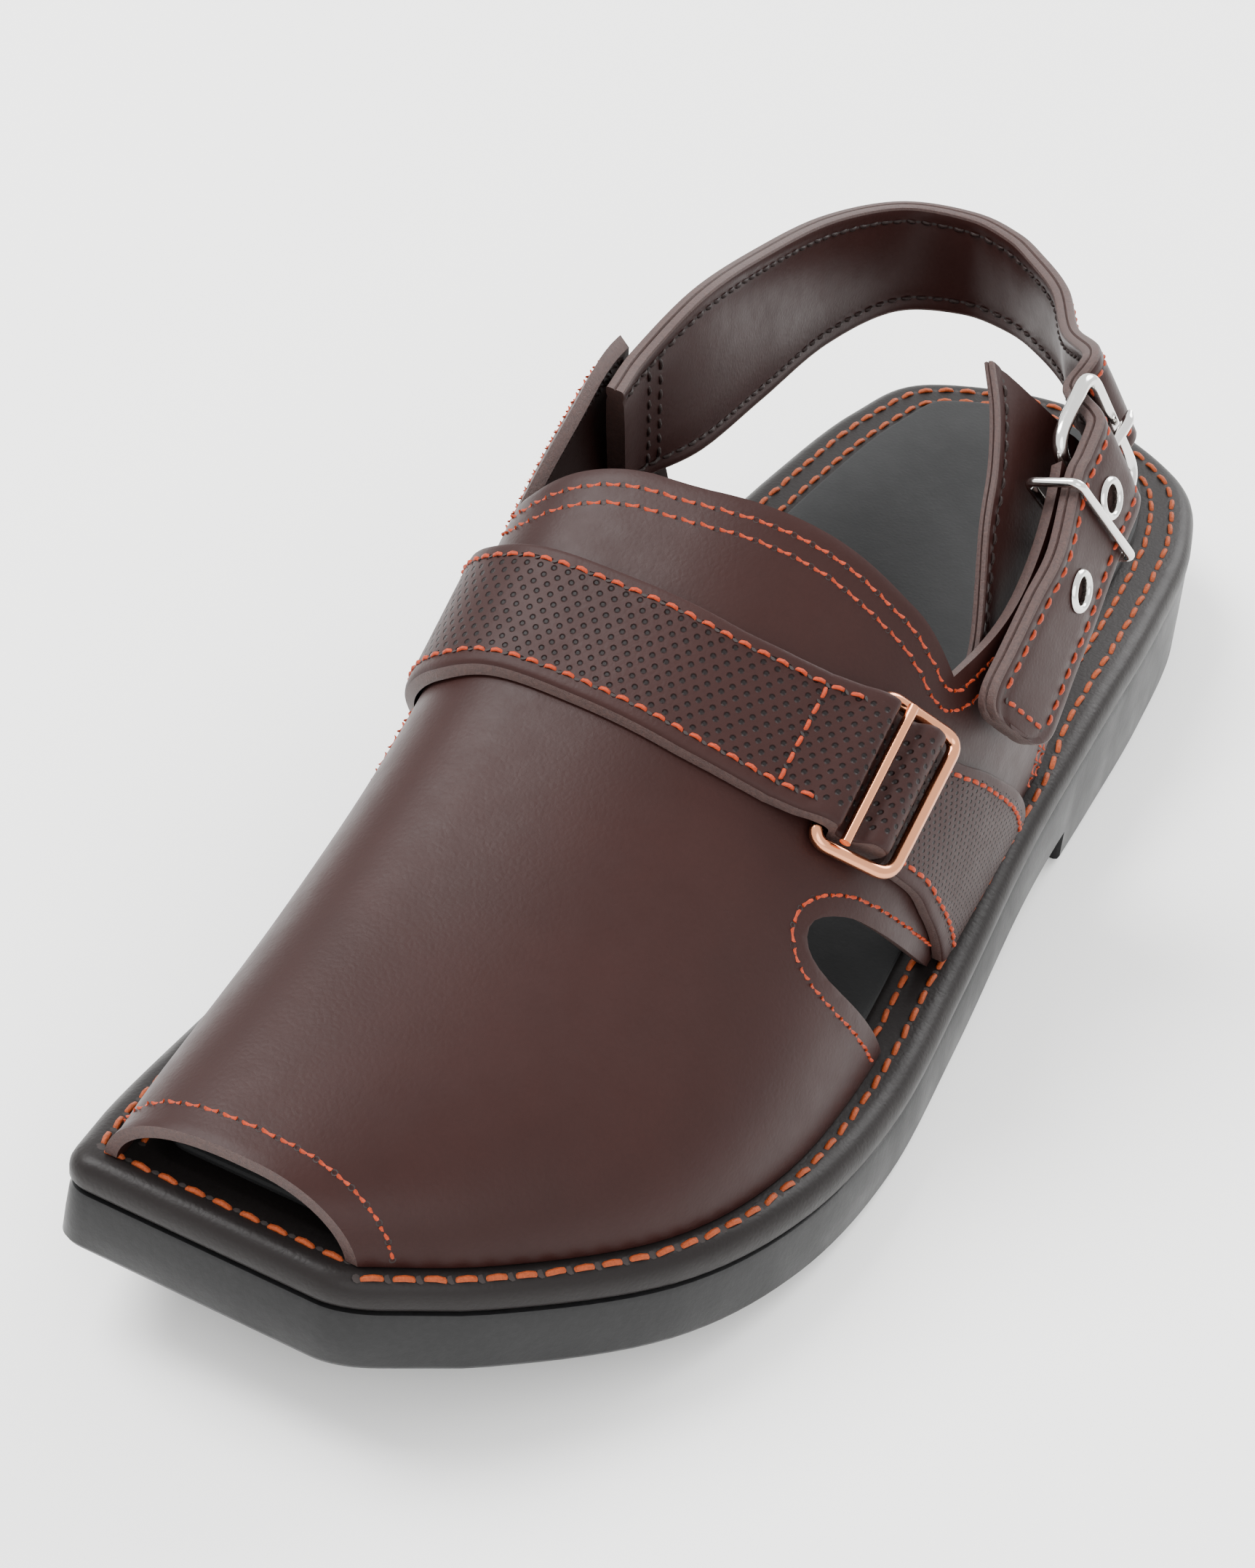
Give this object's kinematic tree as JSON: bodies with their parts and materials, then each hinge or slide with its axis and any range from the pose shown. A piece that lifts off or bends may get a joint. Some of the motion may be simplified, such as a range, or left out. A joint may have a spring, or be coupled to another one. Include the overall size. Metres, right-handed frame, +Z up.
{
  "type": "peshawari chappal",
  "caption": "Left open-toe leather sandal: hollow vamp on a low-heeled rubber sole, perforated instep band through a slide buckle, and a pin-buckled heel strap.",
  "frame": {"origin": "on the floor, below the centre of the sole's outline", "axes": "+Z up, -Y to the toe, +Y to the heel, +X to the outer (lateral) side of the left foot"},
  "size_m": [0.0994, 0.2898, 0.0945],
  "materials": {
    "black_rubber": "satin moulded black rubber",
    "dark_leather": "semi-matte very dark brown leather",
    "charcoal_lining": "matte charcoal grey lining leather",
    "brown_leather": "smooth semi-matte chocolate brown leather",
    "perforated_leather": "chocolate brown leather with fine punched holes",
    "rose_gold_wire": "polished rose gold plated wire",
    "nickel_plate": "polished nickel plate"
  },
  "bodies": {
    "root": {"outsole": "black_rubber", "rand": "dark_leather", "insole": "charcoal_lining", "upper": "brown_leather", "instep_band": "perforated_leather", "band_anchor": "perforated_leather", "slide_frame": "rose_gold_wire", "slide_bar": "rose_gold_wire", "buckle_frame": "nickel_plate", "heel_strap": "brown_leather", "eyelet_1": "nickel_plate", "eyelet_2": "nickel_plate", "buckle_prong": "nickel_plate", "strap_keeper": "nickel_plate", "buckle_guard": "brown_leather"}
  },
  "joints": []
}
